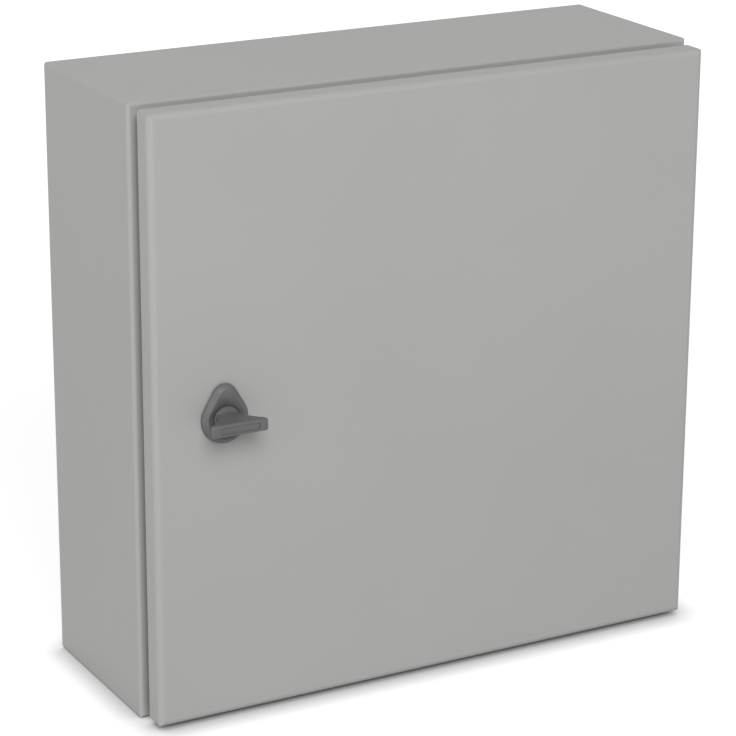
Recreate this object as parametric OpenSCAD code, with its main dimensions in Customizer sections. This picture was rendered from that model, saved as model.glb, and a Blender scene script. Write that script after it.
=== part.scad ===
// Wall-mounted sheet-steel enclosure with a hinged door and a quarter-turn wing lock.
// Frame: X to the right seen from the front, Y towards the wall, Z up.
// The origin is the middle of the back face, on the wall, so the door faces -Y.
// "Depth" means the distance in front of the wall, so a depth d lies at y = -d.

/* [Body] */
// Overall width
body_w = 400; // [300:10:800]
// Overall height
body_h = 400; // [300:10:1000]
// Overall depth, from the wall to the front of the door
body_d = 150; // [130:5:300]
// Thickness of the body sheet
sheet = 1.5; // [1:0.1:1.8]
// Outer radius of the bends at the front and rear edges of the body
front_bend = 2.5; // [2.3:0.1:4]
// Outer radius of the four ground corner seams that run front to back
seam_r = 2; // [2:0.25:3]
// Depth of the folded rim of the rear panel
rear_rim = 12; // [8:1:20]

/* [Gutter and sealing lip] */
// Distance from the side of the body in to the outer face of the sealing lip
gutter_w = 18; // [18:0.5:22]
// Outer radius of the bend between the front flange and the lip
lip_bend = 2.5; // [2.3:0.1:4]
// Open slot between the front flange and the rear edge of the door
door_gap = 9; // [6:0.5:12]

/* [Door] */
// Thickness of the door sheet
door_sheet = 1.5; // [1:0.1:2]
// Depth of the door's folded rim
door_depth = 15; // [14:0.5:20]
// How far the door's outline lies inside the body's, on each side
door_inset = 2.5; // [1:0.5:4]
// Outer radius of the bends round the door's front
door_bend = 4; // [2.5:0.25:5]
// Radius of the door's corners seen from the front
door_corner = 3; // [2.5:0.25:6]

/* [Door gasket] */
// Width of the foamed strip
gasket_w = 7.5; // [5:0.5:8]
// Thickness of the foamed strip
gasket_t = 4; // [3:0.5:5]

/* [Hinges] */
// Distance of each hinge's middle from the top or bottom of the body
hinge_end = 55; // [40:5:120]
// Diameter of the hinge pins
pin_d = 4; // [3:0.5:4]
// Thickness of the rolled hinge leaves
leaf_t = 1.5; // [1:0.1:1.5]
// Length of one hinge knuckle
knuckle_len = 14; // [10:1:20]
// Extra length of the foot welded to the body, at each end of its knuckle
foot_extra = 6; // [2:1:10]
// Diameter of the pin's head and of its retaining clip
pin_head_d = 6; // [5:0.2:6.4]

/* [Lock] */
// Distance of the lock's axis from the latch side of the door
lock_edge = 47; // [45:1:70]
// Height of the lock's axis above the middle of the door
lock_z = 2; // [-60:1:60]
// Diameter of the lock's threaded barrel
barrel_d = 22; // [20:0.5:24]
// Width across the two flats of the barrel
barrel_flats = 20; // [18:0.5:20]
// Depth at which the barrel ends behind the door's skin
barrel_reach = 17; // [14:0.5:19]
// Diameter of the steel spindle
spindle_d = 12; // [10:0.5:13]
// Side of the spindle's square end that carries the cam
spindle_sq = 7; // [5:0.5:7]
// Side of its square end that carries the knob
knob_sq = 5.5; // [4.5:0.25:6]
// Across flats of the lock's fixing nut
lock_nut_af = 27; // [26:0.5:30]
// Thickness of the lock's fixing nut
lock_nut_t = 5.5; // [4:0.5:7]

/* [Escutcheon] */
// Radius of the large lobe round the knob
lobe_r = 15.8; // [15:0.2:18]
// Radius of the small lobe above the knob
small_lobe_r = 8.8; // [6:0.2:11]
// Distance between the two lobes' centres
lobe_pitch = 13.8; // [10:0.2:18]
// Height of the escutcheon above its gasket
escutcheon_t = 4.3; // [3.5:0.1:6]
// Height of its upright edge, below the bevel
escutcheon_edge = 1.2; // [0.6:0.1:2]
// Width of the bevel seen from the front
escutcheon_bevel = 3; // [2:0.2:3]
// Outer radius of the conical dish round the knob
dish_r = 12.4; // [11.6:0.1:12.6]
// Depth of that dish at its inner edge
dish_depth = 1.5; // [0.8:0.1:1.8]
// Depth of the round recess that takes the knob's foot
recess_depth = 2.7; // [2.2:0.1:3]
// Thickness of the flat gasket under the escutcheon
lock_gasket_t = 1; // [0.5:0.1:1.5]

/* [Wing knob] */
// Diameter of the knob's round foot
knob_foot_d = 17.2; // [16.8:0.2:18.4]
// Length of the wing from tip to tip
wing_len = 38.5; // [30:0.5:44]
// Thickness of the wing at its tips
wing_t = 7.9; // [6.5:0.1:10]
// Distance of the wing's front from the door's front
knob_reach = 23.7; // [20:0.1:32]
// Depth of the wing's tips, front to back
wing_tip = 2.8; // [2:0.2:8]
// Radius of the wing's corners
wing_round = 1.8; // [1:0.2:2.6]
// Length of the wing where it grows out of the foot
wing_root_len = 15; // [12:0.5:16]
// Thickness of the wing where it grows out of the foot
wing_root_t = 9.4; // [8:0.2:11]
// Depth of the shallow trough in the wing's front
trough_depth = 0.7; // [0.4:0.1:1.2]
// Rim left round that trough
trough_rim = 1.7; // [1.2:0.1:2.4]

/* [Cam] */
// Length of the cam from the lock's axis to its tip
cam_len = 42; // [40:1:44]
// Width of the cam's tongue
cam_w = 14; // [10:1:18]
// Thickness of the cam
cam_t = 2.5; // [2:0.25:3]
// Radius of the cam's round end at the spindle
cam_hub_r = 10; // [8:0.5:11]
// Clearance between the closed cam and the body's front flange
cam_gap = 1.5; // [1:0.1:2.5]
// Diameter of the cam's screw
cam_screw_d = 5; // [4:0.5:5]

/* [Mounting plate] */
// Gap between the plate and the outside of the body, left and right
plate_margin_x = 30; // [28:1:50]
// Gap between the plate and the outside of the body, top and bottom
plate_margin_z = 20; // [19:1:50]
// Thickness of the plate
plate_t = 2; // [1.5:0.5:3]
// Cut across each corner of the plate, along its edges
plate_chamfer = 24; // [10:1:30]
// Length of the spacers behind the plate
spacer_len = 14; // [14:1:25]
// Outer diameter of the spacers
spacer_d = 14; // [12:1:18]
// Diameter of the plate's studs
stud_d = 8; // [6:1:8]
// Length by which the studs stand in front of the plate
stud_front = 11; // [10:1:16]
// Distance of the studs from the plate's left and right edges
stud_edge_x = 15; // [12:1:30]
// Distance of the studs from the plate's top and bottom edges
stud_edge_z = 40; // [34:1:70]

/* [Wall fixing] */
// Diameter of the four wall-fixing holes
wall_hole_d = 9; // [6:0.5:11]
// Distance of these holes from the outside of the body
wall_hole_edge = 25; // [22:1:40]

/* [Gland plate] */
// Width of the gland opening in the floor
gland_open_w = 220; // [120:10:240]
// Floor left in front of the gland opening, and behind it
gland_floor = 30; // [29:1:40]
// Width of the plate's border beyond the opening
gland_border = 16; // [14:1:17]
// Corner radius of the gland opening
gland_r = 8; // [4:1:12]
// Thickness of the gland plate
gland_t = 2; // [1.5:0.5:3]
// Thickness of its gasket
gland_gasket_t = 2; // [1:0.25:2.25]
// Diameter of the gland plate's studs
gland_stud_d = 5; // [4:1:5]

/* [Earthing] */
// Diameter of the earthing stud on the floor of the body
body_earth_d = 8; // [6:1:8]
// Diameter of the earthing stud on the door
door_earth_d = 6; // [5:1:8]
// Distance of that stud from the door's right side and from its bottom
door_earth_edge = 50; // [35:1:80]

/* [Hidden] */

$fn = 96;
hull_fn = 40;        // sides of the round children of a hull
through = 1;         // how far a cutter runs past the faces it opens
seat_gap = 0.3;      // clearance between pieces of different bodies
slip = 0.1;          // radial clearance of a fixed piece in its hole
run_fit = 0.06;      // radial running clearance of pins and the spindle
hole_gap = 0.2;      // radial clearance of a hole in a sheet

// Depths in front of the wall.
flange_front = body_d - door_depth - door_gap;
flange_back = flange_front - sheet;
door_rear = body_d - door_depth;
skin_back = body_d - door_sheet;
gasket_front = skin_back - gasket_t;
lip_front = gasket_front - seat_gap;

// Widths and heights across the body.
inner_w = body_w - 2 * sheet;
inner_h = body_h - 2 * sheet;
lip_w = body_w - 2 * gutter_w;
lip_h = body_h - 2 * gutter_w;
mouth_w = lip_w - 2 * sheet;
mouth_h = lip_h - 2 * sheet;
bend_in = front_bend - sheet;
lip_fillet = lip_bend - sheet;
seam_in = max(seam_r - sheet, 0.2);

// The door's outline, outside and inside.
door_w = body_w - 2 * door_inset;
door_h = body_h - 2 * door_inset;
pan_w = door_w - 2 * door_sheet;
pan_h = door_h - 2 * door_sheet;
bend_pan = door_bend - door_sheet;
corner_pan = max(door_corner - door_sheet, 0.2);

// The hinges: the pin stands inside the door's rim, one knuckle radius from it.
knuckle_r = pin_d / 2 + leaf_t;
pin_x = pan_w / 2 - knuckle_r;
pin_gap = 1.5;       // between the knuckles and the inside of the door's skin
pin_depth = skin_back - pin_gap - knuckle_r;
hinge_z = body_h / 2 - hinge_end;
rim_sweep = norm([door_w / 2 - pin_x, pin_depth - door_rear]);
pin_bore = pin_d / 2 + run_fit;
clip_t = 0.8;        // thickness of a retaining clip
clip_neck = 0.5;     // depth of the clip's groove in the pin
head_t = 1.5;        // thickness of the pin's head
notch_gap = 1.5;     // clearance of the door's notch above and below the knuckle
leaf_short = 1;      // distance of the door's leaf from the rear edge of the rim
waist_gap = 1;       // clearance of the bracket's foot round the turning rim

// The lock.
lock_x = -door_w / 2 + lock_edge;
escutcheon_back = body_d + lock_gasket_t;
escutcheon_front = escutcheon_back + escutcheon_t;
recess_floor = escutcheon_front - recess_depth;
knob_back = recess_floor + seat_gap;
knob_front = body_d + knob_reach;
foot_proud = 0.5;    // height of the knob's foot above the escutcheon
foot_front = escutcheon_front + foot_proud;
wing_bevel = 0.8;    // bevel round the wing's front
root_sunk = 0.4;     // how far the wing's root reaches into the foot
trough_len = wing_len - 11;
trough_round = 1.6;  // corner radius of the wing's trough
recess_gap = 1;      // radial clearance of the knob's foot in its recess
gasket_inset = 0.8;  // how far the lock's gasket lies inside the escutcheon
spindle_step = 1;    // length of the round spindle inside the knob
barrel_end = skin_back - barrel_reach;
cam_front = barrel_end - seat_gap;
cam_back = cam_front - cam_t;
tongue_front = flange_back - cam_gap;
tongue_back = tongue_front - cam_t;
crank_gap = 1.5;     // flat strip between the cam's hub and its crank
crank_run = 7;       // length of the crank
crank_start = cam_hub_r + crank_gap;
crank_end = crank_start + crank_run;
cam_ramp = 5;        // length of the lead-in at the tip
socket_depth = 10;   // length of square inside the knob
screw_engage = 10;   // thread length in the spindle
cam_washer_d = 12.5;
cam_washer_t = 1.2;

// The mounting plate.
plate_w = body_w - 2 * plate_margin_x;
plate_h = body_h - 2 * plate_margin_z;
plate_back = sheet + spacer_len;
plate_front = plate_back + plate_t;
plate_hole_gap = 0.5;    // radial clearance of the plate on its studs
stud_x = plate_w / 2 - stud_edge_x;
stud_z = plate_h / 2 - stud_edge_z;
wall_x = body_w / 2 - wall_hole_edge;
wall_z = body_h / 2 - wall_hole_edge;

// The gland plate lies on the floor inside the body.
floor_z = -body_h / 2 + sheet;
gland_mid = flange_front / 2;
gland_open_d = flange_front - 2 * gland_floor;
gland_w = gland_open_w + 2 * gland_border;
gland_d = gland_open_d + 2 * gland_border;
gland_z = floor_z + gland_gasket_t;
gland_top = gland_z + gland_t;
gland_stud_x = (gland_open_w + gland_border) / 2;
gland_stud_y = (gland_open_d + gland_border) / 2;
body_earth_x = (gland_w + inner_w) / 4;      // midway between gland plate and wall
door_earth_x = door_w / 2 - door_earth_edge;
door_earth_z = -door_h / 2 + door_earth_edge;

// Sizes of hexagon nuts, flat washers and studs for a thread of diameter d.
function nut_af(d) = d <= 4 ? 7 : d <= 5 ? 8 : d <= 6 ? 10 : d <= 7 ? 11 : 13;
function nut_t(d) = 0.8 * d;
function washer_d(d) = 2 * d + 1;
function washer_t(d) = d <= 5 ? 1 : 1.6;
function stud_len(d, clamped) = clamped + washer_t(d) + 2 * nut_t(d);
function across_corners(af) = af / cos(30);

// ---- shared shapes ----

// A round bar along the depth, between two depths.
module rod(d, from, to) {
    translate([0, -from, 0])
        rotate([90, 0, 0])
            cylinder(d = d, h = to - from);
}

// A hexagonal bar along the depth.
module hex_rod(af, from, to) {
    translate([0, -from, 0])
        rotate([90, 0, 0])
            cylinder(d = across_corners(af), h = to - from, $fn = 6);
}

// A square bar along the depth.
module square_rod(side, from, to) {
    translate([-side / 2, -to, -side / 2])
        cube([side, to - from, side]);
}

// A box centred in X and Z, between two depths.
module slab(w, h, from, to) {
    translate([-w / 2, -to, -h / 2])
        cube([w, to - from, h]);
}

module rounded_rect(w, h, r) {
    square([w - 2 * r, h], center = true);
    square([w, h - 2 * r], center = true);
    for (x = [-1, 1], y = [-1, 1])
        translate([x * (w / 2 - r), y * (h / 2 - r)])
            circle(r = r);
}

// A plate with rounded corners seen from the front.
module rounded_slab(w, h, from, to, r) {
    translate([0, -from, 0])
        rotate([90, 0, 0])
            linear_extrude(to - from)
                rounded_rect(w, h, r);
}

// Section of a folded pan: a rectangle whose two front corners are bends of radius r.
module pan_section(w, from, to, r) {
    translate([-w / 2, -(to - r)])
        square([w, to - r - from]);
    translate([-(w / 2 - r), -to])
        square([w - 2 * r, to - from]);
    for (x = [-1, 1])
        translate([x * (w / 2 - r), -(to - r)])
            circle(r = r);
}

// Section of an opening whose rear edge flares out round a bend of radius r.
module flare_section(w, from, to, r) {
    translate([-w / 2, -to])
        square([w, to - from]);
    difference() {
        translate([-w / 2 - r, -from - r])
            square([w + 2 * r, r]);
        for (x = [-1, 1])
            translate([x * (w / 2 + r), -from - r])
                circle(r = r);
    }
}

// The child section, drawn along the depth, swept up and across with mitred corners.
// $w is the width that the section is to have.
module mitred(w, h) {
    intersection() {
        linear_extrude(2 * h, center = true)
            let($w = w) children();
        rotate([0, 90, 0])
            linear_extrude(2 * w, center = true)
                let($w = h) children();
    }
}

// A solid block with bent front edges and rounded corners.
module pan(w, h, from, to, bend, corner) {
    intersection() {
        mitred(w, h)
            pan_section($w, from, to, bend);
        rounded_slab(w, h, from, to, corner);
    }
}

// The same block with its bent edges at the back.
module pan_facing_back(w, h, from, to, bend, corner) {
    translate([0, -(from + to), 0])
        mirror([0, 1, 0])
            pan(w, h, from, to, bend, corner);
}

// Children at the four places (+-x, +-z).
module at_four(x, z) {
    for (sx = [-1, 1], sz = [-1, 1])
        translate([sx * x, 0, sz * z])
            children();
}

module hex_nut_y(d, from) {
    difference() {
        hex_rod(nut_af(d), from, from + nut_t(d));
        rod(d + 2 * slip, from - through, from + nut_t(d) + through);
    }
}

module washer_y(d, outer, t, from) {
    difference() {
        rod(outer, from, from + t);
        rod(d + 2 * slip, from - through, from + t + through);
    }
}

// Children turned so that a depth measured from the wall becomes a height.
module depth_to_height() {
    rotate([-90, 0, 0])
        children();
}

// ---- body ----

module lip_solid() {
    mitred(lip_w, lip_h)
        flare_section($w, flange_front, lip_front, lip_fillet);
    slab(lip_w, lip_h, flange_back, flange_front + through);
}

module body_wrap() {
    color("gainsboro")
    difference() {
        union() {
            difference() {
                pan(body_w, body_h, 0, flange_front, front_bend, seam_r);
                pan(inner_w, inner_h, -through, flange_back, bend_in, seam_in);
            }
            lip_solid();
        }
        mitred(mouth_w, mouth_h)
            flare_section($w, flange_back, lip_front + through, lip_bend);
        translate([0, -gland_mid, floor_z - sheet - through])
            linear_extrude(sheet + 2 * through)
                rounded_rect(gland_open_w, gland_open_d, gland_r);
    }
}

module rear_panel() {
    color("gainsboro")
    difference() {
        pan_facing_back(inner_w, inner_h, 0, rear_rim, front_bend, seam_in);
        pan_facing_back(inner_w - 2 * sheet, inner_h - 2 * sheet,
                        sheet, rear_rim + front_bend, bend_in, seam_in);
        at_four(wall_x, wall_z)
            rod(wall_hole_d, -through, sheet + through);
    }
}

// ---- mounting plate ----

module mounting_plate() {
    color("silver")
    difference() {
        slab(plate_w, plate_h, plate_back, plate_front);
        at_four(plate_w / 2, plate_h / 2)
            rotate([0, 45, 0])
                slab(plate_chamfer * sqrt(2), plate_chamfer * sqrt(2),
                     plate_back - through, plate_front + through);
        at_four(stud_x, stud_z)
            rod(stud_d + 2 * plate_hole_gap, plate_back - through, plate_front + through);
    }
}

module plate_studs() {
    color("silver")
    at_four(stud_x, stud_z)
        rod(stud_d, sheet, plate_front + stud_front);
}

module plate_spacers() {
    color("dimgray")
    at_four(stud_x, stud_z)
        difference() {
            rod(spacer_d, sheet, plate_back);
            rod(stud_d + 2 * slip, sheet - through, plate_back + through);
        }
}

module plate_washers() {
    color("silver")
    at_four(stud_x, stud_z)
        washer_y(stud_d, washer_d(stud_d), washer_t(stud_d), plate_front);
}

module plate_nuts() {
    color("silver")
    at_four(stud_x, stud_z)
        hex_nut_y(stud_d, plate_front + washer_t(stud_d));
}

// ---- gland plate ----

module gland_at_studs() {
    for (x = [-gland_stud_x, 0, gland_stud_x], y = [-gland_stud_y, gland_stud_y])
        translate([x, y - gland_mid, 0])
            children();
}

module gland_sheet(z, t) {
    difference() {
        translate([0, -gland_mid, z])
            linear_extrude(t)
                rounded_rect(gland_w, gland_d, gland_r);
        gland_at_studs()
            translate([0, 0, z - through])
                cylinder(d = gland_stud_d + 2 * hole_gap, h = t + 2 * through);
    }
}

module gland_plate() {
    color("gainsboro")
    gland_sheet(gland_z, gland_t);
}

module gland_gasket() {
    color("dimgray")
    difference() {
        gland_sheet(floor_z, gland_gasket_t);
        translate([0, -gland_mid, floor_z - through])
            linear_extrude(gland_gasket_t + 2 * through)
                rounded_rect(gland_open_w, gland_open_d, gland_r);
    }
}

module gland_studs() {
    color("silver")
    gland_at_studs()
        translate([0, 0, floor_z])
            cylinder(d = gland_stud_d, h = stud_len(gland_stud_d, gland_gasket_t + gland_t));
}

module gland_washers() {
    color("silver")
    gland_at_studs()
        translate([0, 0, gland_top])
            depth_to_height()
                washer_y(gland_stud_d, washer_d(gland_stud_d), washer_t(gland_stud_d), 0);
}

module gland_nuts() {
    color("silver")
    gland_at_studs()
        translate([0, 0, gland_top + washer_t(gland_stud_d)])
            depth_to_height()
                hex_nut_y(gland_stud_d, 0);
}

// ---- earthing ----

module body_earth() {
    translate([body_earth_x, -gland_mid, floor_z])
        depth_to_height()
            children();
}

module body_earth_stud() {
    color("silver")
    body_earth()
        rod(body_earth_d, 0, stud_len(body_earth_d, 0));
}

module body_earth_washer() {
    color("silver")
    body_earth()
        washer_y(body_earth_d, washer_d(body_earth_d), washer_t(body_earth_d), 0);
}

module body_earth_nut() {
    color("silver")
    body_earth()
        hex_nut_y(body_earth_d, washer_t(body_earth_d));
}

// On the door, depths run back from the skin.
module door_earth() {
    translate([door_earth_x, -skin_back, door_earth_z])
        mirror([0, 1, 0])
            children();
}

module door_earth_stud() {
    color("silver")
    door_earth()
        rod(door_earth_d, 0, stud_len(door_earth_d, 0));
}

module door_earth_washer() {
    color("silver")
    door_earth()
        washer_y(door_earth_d, washer_d(door_earth_d), washer_t(door_earth_d), 0);
}

module door_earth_nut() {
    color("silver")
    door_earth()
        hex_nut_y(door_earth_d, washer_t(door_earth_d));
}

// ---- hinges ----
// Each hinge is drawn round its pin, with z = 0 where the two knuckles meet.

module at_pin(z) {
    translate([pin_x, -pin_depth, z])
        children();
}

module knuckle(side) {
    bottom = side > 0 ? seat_gap / 2 : -knuckle_len;
    difference() {
        union() {
            translate([0, 0, bottom])
                cylinder(r = knuckle_r, h = knuckle_len - seat_gap / 2);
            children();
        }
        translate([0, 0, -knuckle_len - through])
            cylinder(r = pin_bore, h = 2 * (knuckle_len + through));
    }
}

// The body's bracket: a foot on the front flange, a leaf that stands forward and its knuckle.
module body_bracket() {
    reach = pin_depth - flange_front;
    waist = rim_sweep + waist_gap;
    knuckle(-1) {
        translate([-knuckle_r, 0, -knuckle_len])
            cube([leaf_t, reach, knuckle_len - seat_gap / 2]);
        translate([-knuckle_r, waist, -knuckle_len - foot_extra])
            cube([leaf_t, reach - waist, knuckle_len + 2 * foot_extra]);
        translate([-knuckle_r, reach - leaf_t, -knuckle_len - foot_extra])
            cube([body_w / 2 - front_bend - pin_x + knuckle_r, leaf_t,
                  knuckle_len + 2 * foot_extra]);
    }
}

module upper_hinge_bracket() {
    color("silver")
    at_pin(hinge_z)
        body_bracket();
}

module lower_hinge_bracket() {
    color("silver")
    at_pin(-hinge_z)
        body_bracket();
}

// The door's leaf lies on the inside of the rim and rolls round the pin.
module door_leaf() {
    knuckle(1)
        translate([knuckle_r - leaf_t, 0, seat_gap / 2])
            cube([leaf_t, pin_depth - door_rear - leaf_short, knuckle_len - seat_gap / 2]);
}

module upper_door_leaf() {
    color("silver")
    at_pin(hinge_z)
        door_leaf();
}

module lower_door_leaf() {
    color("silver")
    at_pin(-hinge_z)
        door_leaf();
}

// Headed pin with a groove for its clip below the lower knuckle.
module hinge_pin() {
    groove = -knuckle_len - seat_gap - clip_t;
    difference() {
        union() {
            translate([0, 0, groove - 1])
                cylinder(d = pin_d, h = knuckle_len + seat_gap - groove + 1);
            translate([0, 0, knuckle_len + seat_gap])
                cylinder(d = pin_head_d, h = head_t);
        }
        translate([0, 0, groove])
            difference() {
                cylinder(d = pin_d + 1, h = clip_t);
                translate([0, 0, -through])
                    cylinder(d = pin_d - 2 * clip_neck, h = clip_t + 2 * through);
            }
    }
}

module upper_hinge_pin() {
    color("lightgray")
    at_pin(hinge_z)
        hinge_pin();
}

module lower_hinge_pin() {
    color("lightgray")
    at_pin(-hinge_z)
        hinge_pin();
}

// An open retaining ring that snaps into the groove.
module pin_clip() {
    neck_r = pin_d / 2 - clip_neck + slip / 2;
    translate([0, 0, -knuckle_len - seat_gap - clip_t + slip / 2])
        difference() {
            cylinder(d = pin_head_d, h = clip_t - slip);
            translate([0, 0, -through])
                cylinder(r = neck_r, h = clip_t + 2 * through);
            translate([-pin_head_d, -neck_r * 0.8, -through])
                cube([pin_head_d, neck_r * 1.6, clip_t + 2 * through]);
        }
}

module hinge_pin_clips() {
    color("dimgray")
    for (side = [-1, 1])
        at_pin(side * hinge_z)
            pin_clip();
}

// ---- door ----

// Windows in the rim that let the body's knuckles in as the door turns.
module hinge_notches() {
    notch_front = pin_depth + knuckle_r;
    notch_h = knuckle_len + 2 * notch_gap;
    for (side = [-1, 1])
        translate([pin_x, -notch_front, side * hinge_z - knuckle_len - notch_gap])
            cube([door_w / 2 - pin_x + through, notch_front - door_rear + through, notch_h]);
}

module lock_hole() {
    translate([lock_x, 0, lock_z])
        intersection() {
            rod(barrel_d + 2 * hole_gap, skin_back - through, body_d + through);
            slab(barrel_flats + 2 * hole_gap, 2 * barrel_d, skin_back - through, body_d + through);
        }
}

module door_panel() {
    color("gainsboro")
    difference() {
        pan(door_w, door_h, door_rear, body_d, door_bend, door_corner);
        pan(pan_w, pan_h, door_rear - through, skin_back, bend_pan, corner_pan);
        hinge_notches();
        lock_hole();
    }
}

module door_gasket() {
    mid_w = lip_w - sheet;
    mid_h = lip_h - sheet;
    color("dimgray")
    difference() {
        rounded_slab(mid_w + gasket_w, mid_h + gasket_w, gasket_front, skin_back, gasket_w);
        slab(mid_w - gasket_w, mid_h - gasket_w, gasket_front - through, skin_back + through);
    }
}

// ---- lock ----

module at_lock() {
    translate([lock_x, 0, lock_z])
        children();
}

// The two-lobed outline as a solid between two depths, drawn in by inset at the front.
module lobes(inset, from, to) {
    rod(2 * (lobe_r - inset), from, to, $fn = hull_fn);
    translate([0, 0, lobe_pitch])
        rod(2 * (small_lobe_r - inset), from, to, $fn = hull_fn);
}

module lock_gasket() {
    color("dimgray")
    at_lock()
        difference() {
            hull()
                lobes(gasket_inset, body_d, escutcheon_back);
            rod(barrel_d + 2 * hole_gap, body_d - through, escutcheon_back + through);
        }
}

module escutcheon() {
    skin = 0.1;      // thickness of the hull's front slice
    hull() {
        lobes(0, escutcheon_back, escutcheon_back + escutcheon_edge);
        lobes(escutcheon_bevel, escutcheon_front - skin, escutcheon_front);
    }
}

// The conical dish round the knob and the recess in its middle.
module dish_and_recess() {
    rim_r = knob_foot_d / 2 + recess_gap;
    rod(2 * rim_r, recess_floor, escutcheon_front + through);
    translate([0, dish_depth - escutcheon_front, 0])
        rotate([90, 0, 0])
            cylinder(r1 = rim_r, r2 = dish_r, h = dish_depth);
    rod(2 * dish_r, escutcheon_front, escutcheon_front + through);
}

module lock_housing() {
    color("dimgray")
    at_lock()
        difference() {
            union() {
                escutcheon();
                intersection() {
                    rod(barrel_d, barrel_end, escutcheon_back + through / 2);
                    slab(barrel_flats, barrel_d, barrel_end, escutcheon_back + through / 2);
                }
            }
            dish_and_recess();
            rod(spindle_d + 2 * run_fit, barrel_end - through, escutcheon_front + through);
        }
}

module lock_nut() {
    color("silver")
    at_lock()
        difference() {
            hex_rod(lock_nut_af, skin_back - lock_nut_t, skin_back);
            rod(barrel_d + 2 * slip, skin_back - lock_nut_t - through, skin_back + through);
        }
}

module lock_spindle() {
    color("silver")
    at_lock()
        difference() {
            union() {
                rod(spindle_d, cam_front, knob_back + spindle_step);
                square_rod(spindle_sq, cam_back + slip, cam_front);
                square_rod(knob_sq, knob_back, knob_back + socket_depth);
            }
            rod(cam_screw_d + 2 * slip, cam_back - through, cam_back + screw_engage + through);
        }
}

// One post of the wing, with its front edge bevelled.
module wing_post(x, z) {
    translate([x, 0, z]) {
        rod(2 * wing_round, knob_front - wing_tip, knob_front - wing_bevel, $fn = hull_fn);
        rod(2 * (wing_round - wing_bevel), knob_front - wing_bevel, knob_front, $fn = hull_fn);
    }
}

// The wing grows from a short thick root on the foot to its long thin front.
module wing() {
    hull() {
        at_four(wing_root_len / 2 - wing_round, wing_root_t / 2 - wing_round)
            rod(2 * wing_round, foot_front - root_sunk, foot_front, $fn = hull_fn);
        for (x = [-1, 1], z = [-1, 1])
            wing_post(x * (wing_len / 2 - wing_round), z * (wing_t / 2 - wing_round));
    }
}

// The shallow trough in the wing's front.
module wing_trough() {
    trough_h = wing_t - 2 * trough_rim;
    rounded_slab(trough_len, trough_h, knob_front - trough_depth, knob_front + through,
                 trough_round);
}

module wing_knob() {
    color("dimgray")
    at_lock()
        difference() {
            union() {
                rod(knob_foot_d, knob_back, foot_front);
                wing();
            }
            wing_trough();
            rod(spindle_d + 2 * slip, knob_back - through, knob_back + spindle_step + slip);
            square_rod(knob_sq + 2 * slip, knob_back, knob_back + socket_depth + slip);
        }
}

// ---- cam ----
// The cam hangs straight down when the lock is open.

// Side view of the cranked strip: x is the distance from the axis, y the depth.
module cam_side() {
    polygon([
        [-cam_hub_r, -cam_front], [crank_start, -cam_front],
        [crank_end, -tongue_front], [cam_len - cam_ramp, -tongue_front],
        [cam_len, -tongue_front + cam_t / 2], [cam_len, -tongue_back],
        [crank_end, -tongue_back], [crank_start, -cam_back],
        [-cam_hub_r, -cam_back],
    ]);
}

module cam_plan() {
    circle(r = cam_hub_r);
    translate([0, -(cam_len - cam_w / 2)])
        circle(d = cam_w);
    translate([-cam_w / 2, -(cam_len - cam_w / 2)])
        square([cam_w, cam_len - cam_w / 2]);
}

module lock_cam() {
    color("silver")
    at_lock()
        difference() {
            intersection() {
                rotate([0, 90, 0])
                    linear_extrude(2 * cam_hub_r + cam_w, center = true)
                        cam_side();
                translate([0, -tongue_back + through, 0])
                    rotate([90, 0, 0])
                        linear_extrude(cam_front - tongue_back + 2 * through)
                            cam_plan();
            }
            square_rod(spindle_sq + 2 * slip, cam_back - through, cam_front + through);
        }
}

module cam_washer() {
    color("silver")
    at_lock()
        washer_y(cam_screw_d, cam_washer_d, cam_washer_t, cam_back - cam_washer_t);
}

module cam_screw() {
    head_t = 0.7 * cam_screw_d;
    seat = cam_back - cam_washer_t;
    color("silver")
    at_lock() {
        hex_rod(nut_af(cam_screw_d), seat - head_t, seat);
        rod(cam_screw_d, seat, cam_back + screw_engage);
    }
}

body_wrap();
rear_panel();
mounting_plate();
plate_studs();
plate_spacers();
plate_washers();
plate_nuts();
gland_plate();
gland_gasket();
gland_studs();
gland_washers();
gland_nuts();
body_earth_stud();
body_earth_washer();
body_earth_nut();
upper_hinge_bracket();
lower_hinge_bracket();
upper_hinge_pin();
lower_hinge_pin();
hinge_pin_clips();
door_panel();
upper_door_leaf();
lower_door_leaf();
door_gasket();
door_earth_stud();
door_earth_washer();
door_earth_nut();
lock_gasket();
lock_housing();
lock_nut();
lock_spindle();
wing_knob();
lock_cam();
cam_washer();
cam_screw();
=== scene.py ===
"""Finishes and moulded details for a wall-mounted sheet-steel enclosure."""

import math

import bmesh
import bpy
from bpy.props import FloatProperty, FloatVectorProperty, PointerProperty
from mathutils import Matrix, Vector


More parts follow.
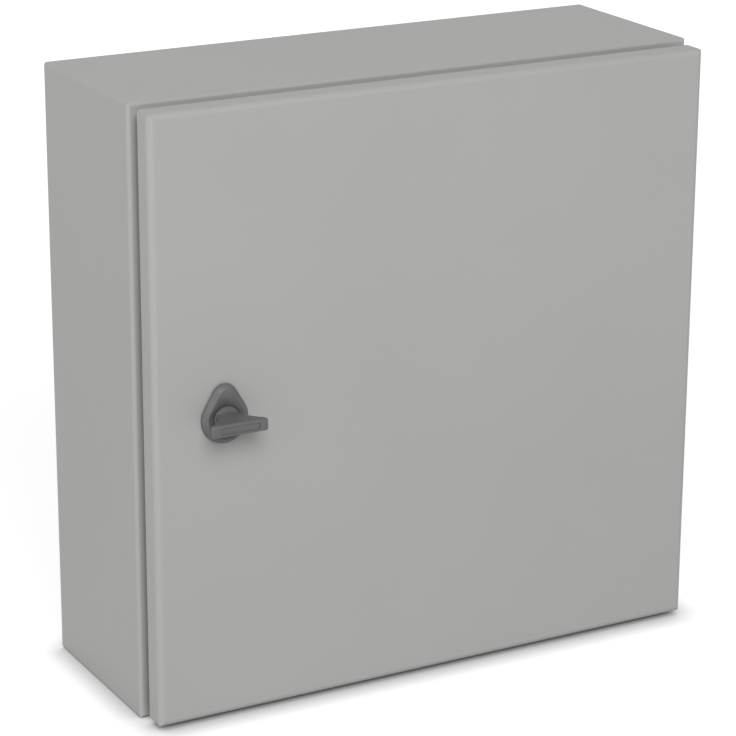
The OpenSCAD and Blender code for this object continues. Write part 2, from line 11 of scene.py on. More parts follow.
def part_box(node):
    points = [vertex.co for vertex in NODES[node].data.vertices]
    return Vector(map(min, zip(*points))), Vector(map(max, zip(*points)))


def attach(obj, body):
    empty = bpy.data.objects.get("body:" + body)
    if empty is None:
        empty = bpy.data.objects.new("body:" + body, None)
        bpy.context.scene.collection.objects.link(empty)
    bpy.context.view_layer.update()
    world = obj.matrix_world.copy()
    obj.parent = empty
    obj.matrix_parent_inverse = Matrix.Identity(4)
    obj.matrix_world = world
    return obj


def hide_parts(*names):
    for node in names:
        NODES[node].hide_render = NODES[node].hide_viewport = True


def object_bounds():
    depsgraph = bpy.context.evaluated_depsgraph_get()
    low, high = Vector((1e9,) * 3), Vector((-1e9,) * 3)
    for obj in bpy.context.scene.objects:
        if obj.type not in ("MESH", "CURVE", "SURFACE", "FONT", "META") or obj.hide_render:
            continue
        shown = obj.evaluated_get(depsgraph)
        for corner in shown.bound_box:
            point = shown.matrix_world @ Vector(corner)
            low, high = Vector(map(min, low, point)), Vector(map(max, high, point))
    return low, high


bl_info = {
    "name": "Steel Wall Enclosure",
    "version": (1, 0, 0),
    "blender": (4, 5, 0),
    "location": "3D View > Sidebar > Enclosure",
    "description": "Dresses a wall enclosure with its paint, metal, plastic and seal finishes",
    "category": "Object",
}

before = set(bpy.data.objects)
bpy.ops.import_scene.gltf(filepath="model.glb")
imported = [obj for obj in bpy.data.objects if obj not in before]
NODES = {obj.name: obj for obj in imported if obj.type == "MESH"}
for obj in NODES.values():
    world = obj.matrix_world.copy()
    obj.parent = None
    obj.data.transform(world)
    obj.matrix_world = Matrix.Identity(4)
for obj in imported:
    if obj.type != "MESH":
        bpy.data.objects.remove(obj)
CAD_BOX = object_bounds()

# Pieces on the door are drawn as seen from the front: x to the right, y up and z the depth
# in front of the wall. This turns such a drawing into the row's frame.
FRONT_VIEW = Matrix.Rotation(math.radians(90), 4, "X")


def middle(node):
    """The middle of a node's box at rest."""
    low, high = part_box(node)
    return (low + high) / 2


LOCK_AXIS = middle("lock_spindle")
LOBE_RADIUS = (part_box("lock_housing")[1].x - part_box("lock_housing")[0].x) / 2
LOBE_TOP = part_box("lock_housing")[1].z - LOCK_AXIS.z
ESCUTCHEON_FRONT = -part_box("lock_housing")[0].y
KNOB_FRONT = -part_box("wing_knob")[0].y
WING_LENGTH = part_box("wing_knob")[1].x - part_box("wing_knob")[0].x

# Edges that bend more than this are shaded as sharp.
SHARP_ANGLE = math.radians(32)
# How far a cutter stands clear of the surface that it cuts through.
OVERSHOOT = 0.002

# The stage, in metres. Lamp places are measured from the middle of the object.
CAMERA_AIM = Vector((-0.0080, -0.0746, -0.0105))
KEY_PLACE, KEY_SIZE = Vector((-1.15, -3.05, 2.35)), 2.0
SIDE_PLACE, SIDE_SIZE = Vector((-3.4, -0.55, 0.75)), 2.4
FLOOR_SIZE = 6.0
FLOOR_GAP = 0.0002
# The floor's own light, near the object and far from it, and the distances between which it rises.
FLOOR_GLOW = (0.84, 1.0)
FLOOR_REACH = (0.5, 1.8)
# The width and the steepness of the soft shadow where the object meets the floor.
CONTACT_WIDTH, CONTACT_POWER = 0.02, 1.3


# ---------------------------------------------------------------------------
# Sizes and colours that a user would change
# ---------------------------------------------------------------------------

def length(name, description, default):
    """A property for a length in metres."""
    return FloatProperty(name=name, description=description, default=default,
                         subtype="DISTANCE", unit="LENGTH", precision=5)


def colour(name, description, default):
    """A property for a linear colour."""
    return FloatVectorProperty(name=name, description=description, default=default,
                               subtype="COLOR", size=3, min=0.0, max=1.0)


class EnclosureSizes(bpy.types.PropertyGroup):
    """Sizes of the moulded and foamed details."""

    small_lobe: length("Small Lobe", "Radius of the escutcheon's upper lobe", 0.0088)
    outer_bevel: length("Outer Bevel", "Width of the bevel round the escutcheon", 0.0029)
    dish_radius: length("Dish Radius", "Outer radius of the dish round the knob", 0.0124)
    dish_depth: length("Dish Depth", "Depth of the dish at the edge of the recess", 0.0015)
    recess_radius: length("Recess Radius", "Radius of the recess that takes the foot", 0.0096)
    recess_step: length("Recess Step", "Depth of the recess below the dish", 0.0012)
    crease_round: length("Crease Rounding", "Radius of the escutcheon's edges", 0.0004)
    barrel_radius: length("Barrel Radius", "Outer radius of the threaded barrel", 0.011)
    barrel_flats: length("Barrel Flats", "Width across the barrel's flats", 0.020)
    bore_radius: length("Bore Radius", "Radius of the bore for the spindle", 0.00606)
    thread_pitch: length("Thread Pitch", "Distance between the barrel's ridges", 0.0015)
    thread_depth: length("Thread Depth", "Depth of the grooves between the ridges", 0.0009)
    foot_radius: length("Foot Radius", "Radius of the knob's round foot", 0.0086)
    foot_proud: length("Foot Proud", "How far the foot stands out of the escutcheon", 0.0004)
    foot_round: length("Foot Rounding", "Radius of the foot's front edge", 0.0005)
    wing_sunk: length("Wing Sunk", "How far the wing's root is let into the foot", 0.0006)
    wing_root: length("Wing Root", "Length of the wing where it leaves the foot", 0.015)
    wing_root_thickness: length("Root Thickness", "Thickness of the wing at its root", 0.0094)
    wing_thickness: length("Wing Thickness", "Thickness of the wing at its tips", 0.0079)
    edge_round: length("Edge Rounding", "Radius of the moulded edges of the wing", 0.0013)
    trough_depth: length("Trough Depth", "Depth of the trough in the wing's front", 0.0007)
    trough_rim: length("Trough Rim", "Rim above and below the trough", 0.0017)
    trough_ends: length("Trough Ends", "How much shorter the trough is than the wing", 0.011)
    foam_width: length("Foam Width", "Width of the foamed seal", 0.0075)
    foam_crown: length("Foam Crown", "Rounding of the foamed seal's free edges", 0.0026)


class EnclosureColours(bpy.types.PropertyGroup):
    """Colours of the finishes."""

    paint: colour("Powder Coat", "Light grey of the body and the door", (0.402, 0.402, 0.395))
    plastic: colour("Moulded Plastic", "Dark grey of the lock and the knob", (0.115, 0.115, 0.118))
    zinc: colour("Zinc Plating", "Plated screws, nuts and washers", (0.62, 0.62, 0.60))
    sheet: colour("Galvanised Sheet", "Zinc-coated mounting plate", (0.56, 0.57, 0.58))
    foam: colour("Foamed Seal", "Foamed strip inside the door", (0.055, 0.055, 0.057))
    rubber: colour("Rubber", "Flat gaskets", (0.028, 0.028, 0.028))


class EnclosureStage(bpy.types.PropertyGroup):
    """Camera, lamps and floor."""

    lens: FloatProperty(name="Lens", description="Focal length of the camera",
                        default=140.5, subtype="DISTANCE_CAMERA", unit="CAMERA")
    distance: length("Camera Distance", "Distance from the camera to its aim", 1.8944)
    azimuth: FloatProperty(name="Azimuth", description="Turn of the camera to the right",
                           default=math.radians(-28.83), subtype="ANGLE", unit="ROTATION")
    elevation: FloatProperty(name="Elevation", description="Height of the camera as an angle",
                             default=math.radians(18.49), subtype="ANGLE", unit="ROTATION")
    roll: FloatProperty(name="Roll", description="Turn of the camera about its own axis",
                        default=math.radians(0.27), subtype="ANGLE", unit="ROTATION")
    key_power: FloatProperty(name="Key Power", description="Power of the key lamp",
                             default=98.0, subtype="POWER", unit="POWER")
    side_power: FloatProperty(name="Side Power", description="Power of the side lamp",
                              default=22.0, subtype="POWER", unit="POWER")
    sky: FloatProperty(name="Sky", description="Strength of the even light from all round",
                       default=0.33, min=0.0, subtype="FACTOR")


# ---------------------------------------------------------------------------
# Material recipes
# ---------------------------------------------------------------------------

class Recipe:
    """Builds one node material, column by column from left to right."""

    def __init__(self, name):
        self.material = bpy.data.materials.new(name)
        self.material.use_nodes = True
        self.tree = self.material.node_tree
        self.shader = self.tree.nodes["Principled BSDF"]
        self.coordinates = self.node("ShaderNodeTexCoord", -5, 0).outputs["Object"]

    def node(self, kind, column, row, **settings):
        """A node at a place in the grid; settings are its properties and input values."""
        node = self.tree.nodes.new(kind)
        node.location = (220 * column, -240 * row)
        for key, value in settings.items():
            if hasattr(node, key):
                setattr(node, key, value)
            else:
                node.inputs[key.replace("_", " ")].default_value = value
        return node

    def link(self, source, target):
        self.tree.links.new(source, target)

    def noise(self, row, scale, detail=3.0, stretch=None):
        """A noise pattern on the object's own coordinates; scale is per metre."""
        node = self.node("ShaderNodeTexNoise", -3, row, Scale=scale, Detail=detail)
        source = self.coordinates
        if stretch:
            mapping = self.node("ShaderNodeMapping", -4, row)
            mapping.inputs["Scale"].default_value = stretch
            self.link(source, mapping.inputs["Vector"])
            source = mapping.outputs["Vector"]
        self.link(source, node.inputs["Vector"])
        return node.outputs["Fac"]

    def ramp(self, row, source, low, high, start=0.3, end=0.7):
        """A colour ramp from low to high over a part of the pattern."""
        node = self.node("ShaderNodeValToRGB", -2, row)
        node.color_ramp.elements[0].position = start
        node.color_ramp.elements[1].position = end
        node.color_ramp.elements[0].color = (*low, 1.0)
        node.color_ramp.elements[1].color = (*high, 1.0)
        self.link(source, node.inputs["Fac"])
        return node.outputs["Color"]

    def spread(self, row, source, low, high):
        """A number between low and high that follows the pattern."""
        node = self.node("ShaderNodeMapRange", -2, row, To_Min=low, To_Max=high)
        self.link(source, node.inputs["Value"])
        return node.outputs["Result"]

    def bump(self, row, source, strength, distance, under=None):
        """A bump from the pattern, laid over another bump."""
        node = self.node("ShaderNodeBump", -1, row, Strength=strength, Distance=distance)
        self.link(source, node.inputs["Height"])
        if under:
            self.link(under, node.inputs["Normal"])
        return node.outputs["Normal"]

    def finish(self, base, roughness, normal, **fixed):
        """Connects the patterns and sets the shader's even values."""
        self.link(base, self.shader.inputs["Base Color"])
        self.link(roughness, self.shader.inputs["Roughness"])
        self.link(normal, self.shader.inputs["Normal"])
        for key, value in fixed.items():
            self.shader.inputs[key.replace("_", " ")].default_value = value
        return self.material


def tint(base, factor):
    """The colour made lighter or darker."""
    return tuple(min(1.0, channel * factor) for channel in base)


def powder_coat(name, base):
    """Fine-textured powder coat: soft orange peel, a fine grain and faint tone changes."""
    recipe = Recipe(name)
    tone = recipe.ramp(0, recipe.noise(0, 7.0, 2.0), tint(base, 0.985), tint(base, 1.015))
    peel = recipe.noise(1, 420.0, 2.0)
    grain = recipe.noise(2, 1900.0, 4.0)
    normal = recipe.bump(1, peel, 0.10, 0.0004)
    normal = recipe.bump(2, grain, 0.12, 0.00012, normal)
    roughness = recipe.spread(3, grain, 0.40, 0.54)
    return recipe.finish(tone, roughness, normal, Specular_IOR_Level=0.45)


def galvanised(name, base):
    """Hot-dipped sheet: spangles of slightly different tone and gloss."""
    recipe = Recipe(name)
    cells = recipe.node("ShaderNodeTexVoronoi", -3, 0, Scale=130.0, Randomness=1.0)
    recipe.link(recipe.coordinates, cells.inputs["Vector"])
    split = recipe.node("ShaderNodeSeparateColor", -3, 1)
    recipe.link(cells.outputs["Color"], split.inputs["Color"])
    tone = recipe.ramp(0, split.outputs["Red"], tint(base, 0.88), tint(base, 1.08), 0.1, 0.9)
    roughness = recipe.spread(1, split.outputs["Green"], 0.34, 0.52)
    haze = recipe.noise(2, 900.0, 5.0)
    normal = recipe.bump(2, haze, 0.10, 0.0001)
    return recipe.finish(tone, roughness, normal, Metallic=0.9)


def plated(name, base, rough=0.30, grain=2600.0, stretch=None):
    """Plated or turned metal with fine tool marks and a cloudy bloom."""
    recipe = Recipe(name)
    bloom = recipe.noise(0, 260.0, 4.0)
    tone = recipe.ramp(0, bloom, tint(base, 0.82), tint(base, 1.06))
    marks = recipe.noise(1, grain, 3.0, stretch)
    roughness = recipe.spread(2, marks, rough - 0.08, rough + 0.12)
    normal = recipe.bump(1, marks, 0.18, 0.00006)
    return recipe.finish(tone, roughness, normal, Metallic=1.0)


def moulded(name, base, rough=0.48):
    """Moulded plastic with the fine matt texture of a spark-eroded mould."""
    recipe = Recipe(name)
    tone = recipe.ramp(0, recipe.noise(0, 130.0, 3.0), tint(base, 0.94), tint(base, 1.06))
    grit = recipe.noise(1, 3800.0, 3.0)
    normal = recipe.bump(1, grit, 0.16, 0.00007)
    roughness = recipe.spread(2, grit, rough - 0.06, rough + 0.08)
    return recipe.finish(tone, roughness, normal, Specular_IOR_Level=0.5)


def foamed(name, base):
    """Foamed seal: open cells under a thin torn skin."""
    recipe = Recipe(name)
    cells = recipe.node("ShaderNodeTexVoronoi", -3, 1, Scale=1500.0, Randomness=1.0)
    recipe.link(recipe.coordinates, cells.inputs["Vector"])
    tone = recipe.ramp(0, recipe.noise(0, 420.0, 4.0), tint(base, 0.75), tint(base, 1.3))
    waves = recipe.noise(2, 90.0, 3.0)
    normal = recipe.bump(1, cells.outputs["Distance"], 0.45, 0.0003)
    normal = recipe.bump(2, waves, 0.30, 0.0012, normal)
    roughness = recipe.spread(3, waves, 0.80, 0.95)
    return recipe.finish(tone, roughness, normal, Specular_IOR_Level=0.25)


def sheet_rubber(name, base):
    """Black sheet rubber with a faint bloom and pores."""
    recipe = Recipe(name)
    tone = recipe.ramp(0, recipe.noise(0, 300.0, 4.0), tint(base, 0.7), tint(base, 1.5))
    pores = recipe.noise(1, 2400.0, 4.0)
    normal = recipe.bump(1, pores, 0.22, 0.0001)
    roughness = recipe.spread(2, pores, 0.62, 0.80)
    return recipe.finish(tone, roughness, normal, Specular_IOR_Level=0.35)


def math_node(tree, operation, *inputs):
    """A Math node's result; each input is a socket or a number."""
    node = tree.nodes.new("ShaderNodeMath")
    node.operation = operation
    for socket, source in zip(node.inputs, inputs):
        if isinstance(source, bpy.types.NodeSocket):
            tree.links.new(source, socket)
        else:
            socket.default_value = source
    return node.outputs["Value"]


def map_range(tree, source, start, end, low, high):
    """A number that goes from low to high while the source goes from start to end."""
    node = tree.nodes.new("ShaderNodeMapRange")
    for key, value in zip(("From Min", "From Max", "To Min", "To Max"), (start, end, low, high)):
        node.inputs[key].default_value = value
    tree.links.new(source, node.inputs["Value"])
    return node.outputs["Result"]


def any_ray(tree, *kinds):
    """One for rays of the given kinds and zero for all others."""
    rays = tree.nodes.new("ShaderNodeLightPath").outputs
    result = rays[kinds[0]]
    for kind in kinds[1:]:
        result = math_node(tree, "MAXIMUM", result, rays[kind])
    return result


def grey(tree, level):
    """A matt grey."""
    node = tree.nodes.new("ShaderNodeBsdfDiffuse")
    node.inputs["Color"].default_value = (level, level, level, 1.0)
    return node.outputs["BSDF"]


def dress(material, *names):
    """Gives a material to CAD nodes."""
    for name in names:
        slots = NODES[name].data.materials
        slots.clear()
        slots.append(material)


# ---------------------------------------------------------------------------
# Modelling helpers
# ---------------------------------------------------------------------------

def lathe(drawing, profile, steps=72):
    """Spins a profile of (radius, depth) points into a closed solid round the z axis."""
    points = [drawing.verts.new((radius, 0.0, depth)) for radius, depth in profile]
    edges = [drawing.edges.new(pair) for pair in zip(points, points[1:])]
    bmesh.ops.spin(drawing, geom=points + edges, axis=(0, 0, 1), cent=(0, 0, 0),
                   dvec=(0, 0, 0), angle=math.tau, steps=steps, use_merge=True,
                   use_duplicate=False, use_normal_flip=False)
    bmesh.ops.remove_doubles(drawing, verts=drawing.verts[:], dist=1e-6)
    bmesh.ops.recalc_face_normals(drawing, faces=drawing.faces[:])


def cylinder(drawing, radius, back, front, rise=0.0, segments=96):
    """A closed cylinder between two depths, its axis raised above the origin by rise."""
    bmesh.ops.create_cone(drawing, cap_ends=True, cap_tris=False, segments=segments,
                          radius1=radius, radius2=radius, depth=front - back,
                          matrix=Matrix.Translation((0.0, rise, (back + front) / 2)))


def block(drawing, width, height, back, front):
    """A closed box between two depths, drawn in the front view."""
    place = Matrix.Translation((0.0, 0.0, (back + front) / 2))
    size = Matrix.Diagonal((width, height, front - back, 1.0))
    bmesh.ops.create_cube(drawing, size=1.0, matrix=place @ size)


def same(first, second):
    """Whether two lengths are equal but for rounding."""
    return abs(first - second) < 1e-5


def runs_in_depth(edge):
    """Whether an edge of a front-view drawing leads from one depth to another."""
    return not same(edge.verts[0].co.z, edge.verts[1].co.z)


def soften(drawing, edges, offset, segments):
    """Rounds edges."""
    bmesh.ops.bevel(drawing, geom=edges, offset=offset, offset_type="OFFSET",
                    segments=segments, profile=0.5, affect="EDGES", clamp_overlap=True,
                    material=-1)


def as_object(drawing, name, place=None):
    """Turns a drawing into an object whose place is in its mesh."""
    if place:
        bmesh.ops.transform(drawing, matrix=place, verts=drawing.verts[:])
    for face in drawing.faces:
        face.smooth = True
    mesh = bpy.data.meshes.new(name)
    drawing.to_mesh(mesh)
    drawing.free()
    mesh.set_sharp_from_angle(angle=SHARP_ANGLE)
    piece = bpy.data.objects.new(name, mesh)
    bpy.context.scene.collection.objects.link(piece)
    return piece


def settle(piece):
    """Applies a piece's modifiers to its mesh."""
    bpy.context.view_layer.update()
    evaluated = piece.evaluated_get(bpy.context.evaluated_depsgraph_get())
    mesh = bpy.data.meshes.new_from_object(evaluated)
    piece.modifiers.clear()
    piece.data = mesh
    mesh.set_sharp_from_angle(angle=SHARP_ANGLE)


def carve(piece, cutter, operation="DIFFERENCE"):
    """Cuts a piece with another object, which is used up."""
    cut = piece.modifiers.new("Cut", "BOOLEAN")
    cut.operation = operation
    cut.solver = "EXACT"
    cut.object = cutter
    settle(piece)
    bpy.data.objects.remove(cutter)


def fit(piece, material, body, slot, *replaced):
    """Gives a piece its material and its body, and hides the nodes it stands for; the slot is not
    used.
    """
    piece.data.materials.clear()
    piece.data.materials.append(material)
    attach(piece, body)
    if replaced:
        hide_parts(*replaced)
    return piece


def at_lock():
    """The front view moved to the lock's axis."""
    return Matrix.Translation((LOCK_AXIS.x, 0.0, LOCK_AXIS.z)) @ FRONT_VIEW


# ---------------------------------------------------------------------------
# Operators
# ---------------------------------------------------------------------------

class ENCLOSURE_OT_paintwork(bpy.types.Operator):
    """Gives the body, the rear panel, the gland plate and the door their powder coat"""

    bl_idname = "enclosure.paintwork"
    bl_label = "Paintwork"

    def execute(self, context):
        base = context.scene.enclosure_colours.paint
        dress(powder_coat("body_powder_coat", base), "body_wrap", "rear_panel", "gland_plate")
        dress(powder_coat("door_powder_coat", base), "door_panel")
        return {"FINISHED"}


class ENCLOSURE_OT_metalwork(bpy.types.Operator):
    """Gives the mounting plate, hinges, lock metal and fasteners their metal finishes"""

    bl_idname = "enclosure.metalwork"
    bl_label = "Metalwork"

    def execute(self, context):
        colours = context.scene.enclosure_colours
        dress(galvanised("galvanised_sheet", colours.sheet), "mounting_plate")
        dress(plated("zinc_plated_fasteners", colours.zinc),
              "plate_studs", "plate_washers", "plate_nuts", "gland_studs", "gland_washers",
              "gland_nuts", "body_earth_stud", "body_earth_washer", "body_earth_nut",
              "door_earth_stud", "door_earth_washer", "door_earth_nut", "lock_nut",
              "lock_cam", "cam_washer", "cam_screw")
        dress(plated("folded_hinge_steel", (0.50, 0.50, 0.49), 0.38, 1500.0, (1.0, 1.0, 0.06)),
              "upper_hinge_bracket", "lower_hinge_bracket", "upper_door_leaf",
              "lower_door_leaf")
        dress(plated("turned_pin_steel", (0.66, 0.66, 0.67), 0.22, 2800.0, (0.05, 0.05, 1.0)),
              "upper_hinge_pin", "lower_hinge_pin")
        dress(plated("phosphated_spring_steel", (0.16, 0.16, 0.17), 0.42), "hinge_pin_clips")
        dress(plated("die_cast_spindle", (0.48, 0.48, 0.48), 0.40, 1200.0), "lock_spindle")
        return {"FINISHED"}


class ENCLOSURE_OT_seals(bpy.types.Operator):
    """Gives the flat gaskets and spacers their finish and foams the strip inside the door"""

    bl_idname = "enclosure.seals"
    bl_label = "Seals and Spacers"

    def execute(self, context):
        colours = context.scene.enclosure_colours
        sizes = context.scene.enclosure_sizes
        dress(sheet_rubber("sheet_rubber", colours.rubber), "gland_gasket", "lock_gasket")
        dress(moulded("spacer_plastic", (0.05, 0.05, 0.052), 0.55), "plate_spacers")

        low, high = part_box("door_gasket")
        width, height = high.x - low.x, high.z - low.z
        drawing = bmesh.new()
        block(drawing, width, height, -high.y, -low.y)
        soften(drawing, [e for e in drawing.edges if runs_in_depth(e)], sizes.foam_width, 8)
        caps = [f for f in drawing.faces if abs(f.normal.z) > 0.9]
        bmesh.ops.delete(drawing, geom=caps, context="FACES")
        bmesh.ops.recalc_face_normals(drawing, faces=drawing.faces[:])
        piece = as_object(drawing, "foamed_strip", FRONT_VIEW)
        wall = piece.modifiers.new("Strip", "SOLIDIFY")
        wall.thickness = sizes.foam_width
        wall.offset = -1.0
        wall.use_even_offset = True
        settle(piece)
        drawing = bmesh.new()
        drawing.from_mesh(piece.data)
        rim = [e for e in drawing.edges
               if all(same(v.co.y, high.y) for v in e.verts)
               and e.calc_face_angle(0.0) > math.radians(45)]
        soften(drawing, rim, sizes.foam_crown, 5)
        bpy.data.objects.remove(piece)
        piece = as_object(drawing, "foamed_strip")
        fit(piece, foamed("foamed_seal", colours.foam), "door", "foam", "door_gasket")
        return {"FINISHED"}


class ENCLOSURE_OT_escutcheon(bpy.types.Operator):
    """Moulds the pear-shaped escutcheon with its bevel, dish, recess and threaded barrel"""

    bl_idname = "enclosure.escutcheon"
    bl_label = "Escutcheon"

    def execute(self, context):
        sizes = context.scene.enclosure_sizes
        back = -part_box("lock_gasket")[0].y
        drawing = bmesh.new()
        cylinder(drawing, LOBE_RADIUS, back, ESCUTCHEON_FRONT)
        cylinder(drawing, sizes.small_lobe, back, ESCUTCHEON_FRONT,
                 rise=LOBE_TOP - sizes.small_lobe, segments=72)
        hull = bmesh.ops.convex_hull(drawing, input=drawing.verts[:], use_existing_faces=False)
        loose = {v for v in hull["geom_interior"] if isinstance(v, bmesh.types.BMVert)}
        bmesh.ops.delete(drawing, geom=list(loose), context="VERTS")
        inner = [f for f in drawing.faces if f not in set(hull["geom"])]
        bmesh.ops.delete(drawing, geom=inner, context="FACES_ONLY")
        bmesh.ops.dissolve_limit(drawing, angle_limit=math.radians(0.5),
                                 verts=drawing.verts[:], edges=drawing.edges[:])
        bmesh.ops.recalc_face_normals(drawing, faces=drawing.faces[:])
        outline = [e for e in drawing.edges
                   if all(same(v.co.z, ESCUTCHEON_FRONT) for v in e.verts)]
        soften(drawing, outline, sizes.outer_bevel, 1)
        crease = [e for e in drawing.edges
                  if math.radians(18) < e.calc_face_angle(0.0) < math.radians(74)]
        soften(drawing, crease, sizes.crease_round, 3)
        piece = as_object(drawing, "escutcheon", at_lock())

        dish_floor = ESCUTCHEON_FRONT - sizes.dish_depth
        drawing = bmesh.new()
        recess_floor = dish_floor - sizes.recess_step
        lathe(drawing, [(0.0, recess_floor), (sizes.recess_radius, recess_floor),
                        (sizes.recess_radius, dish_floor),
                        (sizes.dish_radius, ESCUTCHEON_FRONT),
                        (sizes.dish_radius, ESCUTCHEON_FRONT + OVERSHOOT),
                        (0.0, ESCUTCHEON_FRONT + OVERSHOOT)], 96)
        carve(piece, as_object(drawing, "dish_cutter", at_lock()))

        barrel_end = -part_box("lock_housing")[1].y
        barrel_front = back + 0.0004
        crest, pitch = sizes.barrel_radius, sizes.thread_pitch
        root = crest - sizes.thread_depth
        turns = int((back - barrel_end) / pitch) - 1
        profile = [(0.0, barrel_end), (root - 0.0001, barrel_end)]
        for turn in range(turns):
            start = barrel_end + (turn + 0.4) * pitch
            profile += [(root, start), (crest, start + pitch / 2)]
        profile += [(root, back - 0.0007), (root, barrel_front), (0.0, barrel_front)]
        drawing = bmesh.new()
        lathe(drawing, profile)
        barrel = as_object(drawing, "barrel", at_lock())
        drawing = bmesh.new()
        block(drawing, sizes.barrel_flats, 4 * crest, barrel_end - OVERSHOOT,
              barrel_front + OVERSHOOT)
        carve(barrel, as_object(drawing, "flats_cutter", at_lock()), "INTERSECT")
        drawing = bmesh.new()
        cylinder(drawing, sizes.bore_radius, barrel_end - OVERSHOOT, barrel_front + OVERSHOOT)
        carve(barrel, as_object(drawing, "bore_cutter", at_lock()))

        plastic = moulded("lock_plastic", context.scene.enclosure_colours.plastic)
        fit(piece, plastic, "door", "lock_plastic", "lock_housing")
        fit(barrel, plastic, "door", "lock_plastic")
        return {"FINISHED"}


class ENCLOSURE_OT_wing_knob(bpy.types.Operator):
    """Moulds the wing knob: a round foot and a wing that flares out to its front"""

    bl_idname = "enclosure.wing_knob"
    bl_label = "Wing Knob"

    def execute(self, context):
        sizes = context.scene.enclosure_sizes
        foot_back = -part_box("wing_knob")[1].y
        foot_front = ESCUTCHEON_FRONT + sizes.foot_proud

        drawing = bmesh.new()
        block(drawing, sizes.wing_root, sizes.wing_root_thickness,
              foot_front - sizes.wing_sunk, foot_front)
        reach = KNOB_FRONT - foot_front
        grow = WING_LENGTH - sizes.wing_root
        thin = sizes.wing_root_thickness - sizes.wing_thickness
        # How far the wing has grown to its full length at parts of its way to the front.
        flare = ((0.22, 0.10), (0.45, 0.30), (0.68, 0.64), (0.84, 0.95), (1.0, 1.0))
        width, height, depth = sizes.wing_root, sizes.wing_root_thickness, foot_front
        for along, out in flare:
            drawing.faces.ensure_lookup_table()
            front = max(drawing.faces, key=lambda f: f.calc_center_median().z)
            made = bmesh.ops.extrude_face_region(drawing, geom=[front])["geom"]
            moved = [v for v in made if isinstance(v, bmesh.types.BMVert)]
            bmesh.ops.delete(drawing, geom=[front], context="FACES_ONLY")
            new_width = sizes.wing_root + grow * out
            new_height = sizes.wing_root_thickness - thin * along
            new_depth = foot_front + reach * along
            bmesh.ops.scale(drawing, vec=(new_width / width, new_height / height, 1.0),
                            verts=moved)
            bmesh.ops.translate(drawing, vec=(0.0, 0.0, new_depth - depth), verts=moved)
            width, height, depth = new_width, new_height, new_depth
        bmesh.ops.recalc_face_normals(drawing, faces=drawing.faces[:])
        long_edges = [e for e in drawing.edges
                      if runs_in_depth(e) or all(same(v.co.z, KNOB_FRONT) for v in e.verts)]
        soften(drawing, long_edges, sizes.edge_round, 4)
        wing = as_object(drawing, "wing", at_lock())

        drawing = bmesh.new()
        trough_height = sizes.wing_thickness - 2 * sizes.trough_rim
        block(drawing, WING_LENGTH - sizes.trough_ends, trough_height,
              KNOB_FRONT - sizes.trough_depth, KNOB_FRONT + OVERSHOOT)
        ends = [e for e in drawing.edges if runs_in_depth(e)]
        soften(drawing, ends, 0.49 * trough_height, 8)
        carve(wing, as_object(drawing, "trough_cutter", at_lock()))

        drawing = bmesh.new()
        radius, edge = sizes.foot_radius, sizes.foot_round
        lathe(drawing, [(0.0, foot_back), (radius, foot_back), (radius, foot_front - edge),
                        (radius - 0.3 * edge, foot_front - 0.3 * edge),
                        (radius - edge, foot_front), (0.0, foot_front)])
        foot = as_object(drawing, "knob_foot", at_lock())

        plastic = moulded("knob_plastic", context.scene.enclosure_colours.plastic, 0.46)
        fit(wing, plastic, "lock", "knob_plastic", "wing_knob")
        fit(foot, plastic, "lock", "knob_plastic")
        return {"FINISHED"}


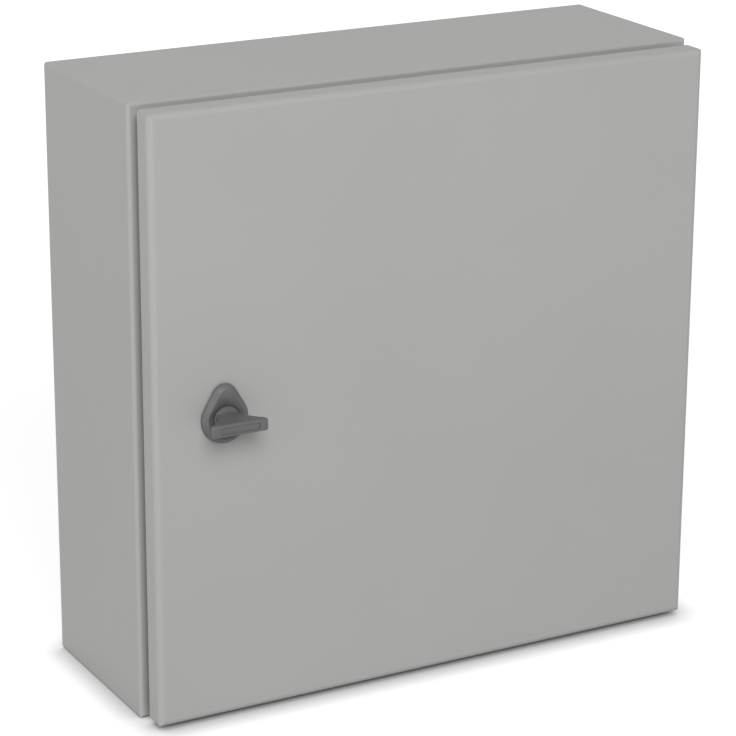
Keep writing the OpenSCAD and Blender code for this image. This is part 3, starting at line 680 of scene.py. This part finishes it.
class ENCLOSURE_OT_stage(bpy.types.Operator):
    """Sets the floor, the lamps, the even surrounding light and the camera"""

    bl_idname = "enclosure.stage"
    bl_label = "Stage"

    def execute(self, context):
        settings = context.scene.enclosure_stage
        low, high = CAD_BOX

        drawing = bmesh.new()
        bmesh.ops.create_grid(drawing, x_segments=1, y_segments=1, size=FLOOR_SIZE)
        bmesh.ops.translate(drawing, vec=(0.0, 0.0, low.z - FLOOR_GAP), verts=drawing.verts[:])
        floor = as_object(drawing, "floor")
        floor.data.materials.append(self.floor_material())

        centre = (low + high) / 2
        self.lamp("key_lamp", settings.key_power, KEY_SIZE, centre, KEY_PLACE)
        self.lamp("side_lamp", settings.side_power, SIDE_SIZE, centre, SIDE_PLACE)
        self.surroundings(context, settings.sky)
        self.camera(context, settings)
        context.scene.view_settings.view_transform = "Standard"
        return {"FINISHED"}

    def lamp(self, name, power, size, target, place):
        """A round area lamp that shines at the target."""
        data = bpy.data.lights.new(name, "AREA")
        data.energy = power
        data.shape = "DISK"
        data.size = size
        lamp = bpy.data.objects.new(name, data)
        lamp.location = target + place
        lamp.rotation_euler = (-place).to_track_quat("-Z", "Y").to_euler()
        bpy.context.scene.collection.objects.link(lamp)

    def floor_material(self):
        """White to the camera where it is lit, and keeps the object's shadow."""
        material = bpy.data.materials.new("pale_floor")
        material.use_nodes = True
        tree = material.node_tree
        tree.nodes.clear()
        place = tree.nodes.new("ShaderNodeTexCoord")
        reach = tree.nodes.new("ShaderNodeVectorMath")
        reach.operation = "LENGTH"
        tree.links.new(place.outputs["Object"], reach.inputs[0])
        level = map_range(tree, reach.outputs["Value"], *FLOOR_REACH, *FLOOR_GLOW)
        contact = tree.nodes.new("ShaderNodeAmbientOcclusion")
        contact.inputs["Distance"].default_value = CONTACT_WIDTH
        contact = math_node(tree, "POWER", contact.outputs["AO"], CONTACT_POWER)
        glow = tree.nodes.new("ShaderNodeEmission")
        tree.links.new(math_node(tree, "MULTIPLY", level, contact), glow.inputs["Strength"])
        seen = tree.nodes.new("ShaderNodeAddShader")
        tree.links.new(grey(tree, 0.30), seen.inputs[0])
        tree.links.new(glow.outputs["Emission"], seen.inputs[1])
        mix = tree.nodes.new("ShaderNodeMixShader")
        tree.links.new(any_ray(tree, "Is Camera Ray", "Is Glossy Ray"), mix.inputs["Fac"])
        tree.links.new(grey(tree, 0.75), mix.inputs[1])
        tree.links.new(seen.outputs["Shader"], mix.inputs[2])
        output = tree.nodes.new("ShaderNodeOutputMaterial")
        tree.links.new(mix.outputs["Shader"], output.inputs["Surface"])
        for index, node in enumerate(tree.nodes):
            node.location = (220 * (index % 4), -220 * (index // 4))
        return material

    def surroundings(self, context, strength):
        """An even sky that is white to the camera and in reflections."""
        world = bpy.data.worlds.new("even_sky")
        world.use_nodes = True
        tree = world.node_tree
        background = tree.nodes["Background"]
        background.inputs["Color"].default_value = (1.0, 1.0, 1.0, 1.0)
        direct = any_ray(tree, "Is Camera Ray", "Is Glossy Ray", "Is Transmission Ray")
        level = map_range(tree, direct, 0.0, 1.0, strength, 1.0)
        tree.links.new(level, background.inputs["Strength"])
        context.scene.world = world

    def camera(self, context, settings):
        """The camera, looking at its aim from the set angle."""
        data = bpy.data.cameras.new("camera")
        data.sensor_width = 36.0
        data.lens = settings.lens
        data.clip_end = 50.0
        camera = bpy.data.objects.new("camera", data)
        around, above = settings.azimuth, settings.elevation
        away = Vector((math.sin(around) * math.cos(above),
                       -math.cos(around) * math.cos(above), math.sin(above)))
        turn = (-away).to_track_quat("-Z", "Y").to_matrix().to_4x4()
        place = Matrix.Translation(CAMERA_AIM + away * settings.distance)
        camera.matrix_world = place @ turn @ Matrix.Rotation(settings.roll, 4, "Z")
        context.scene.collection.objects.link(camera)
        context.scene.camera = camera


class ENCLOSURE_PT_panel(bpy.types.Panel):
    """Lists the enclosure's operators"""

    bl_idname = "ENCLOSURE_PT_panel"
    bl_label = "Steel Wall Enclosure"
    bl_space_type = "VIEW_3D"
    bl_region_type = "UI"
    bl_category = "Enclosure"

    def draw(self, context):
        column = self.layout.column(align=True)
        for operator in OPERATORS:
            column.operator(operator.bl_idname)
        for group in ("enclosure_sizes", "enclosure_colours", "enclosure_stage"):
            settings = getattr(context.scene, group)
            box = self.layout.box()
            for key in settings.__annotations__:
                box.prop(settings, key)


GROUPS = (EnclosureSizes, EnclosureColours, EnclosureStage)
OPERATORS = (
    ENCLOSURE_OT_paintwork,
    ENCLOSURE_OT_metalwork,
    ENCLOSURE_OT_seals,
    ENCLOSURE_OT_escutcheon,
    ENCLOSURE_OT_wing_knob,
    ENCLOSURE_OT_stage,
)


def register():
    for item in (*GROUPS, *OPERATORS, ENCLOSURE_PT_panel):
        bpy.utils.register_class(item)
    bpy.types.Scene.enclosure_sizes = PointerProperty(type=EnclosureSizes)
    bpy.types.Scene.enclosure_colours = PointerProperty(type=EnclosureColours)
    bpy.types.Scene.enclosure_stage = PointerProperty(type=EnclosureStage)


def unregister():
    del bpy.types.Scene.enclosure_stage
    del bpy.types.Scene.enclosure_colours
    del bpy.types.Scene.enclosure_sizes
    for item in reversed((*GROUPS, *OPERATORS, ENCLOSURE_PT_panel)):
        bpy.utils.unregister_class(item)


def main():
    register()
    bpy.ops.enclosure.paintwork()
    bpy.ops.enclosure.metalwork()
    bpy.ops.enclosure.seals()
    bpy.ops.enclosure.escutcheon()
    bpy.ops.enclosure.wing_knob()
    bpy.ops.enclosure.stage()


if __name__ == "__main__":
    main()
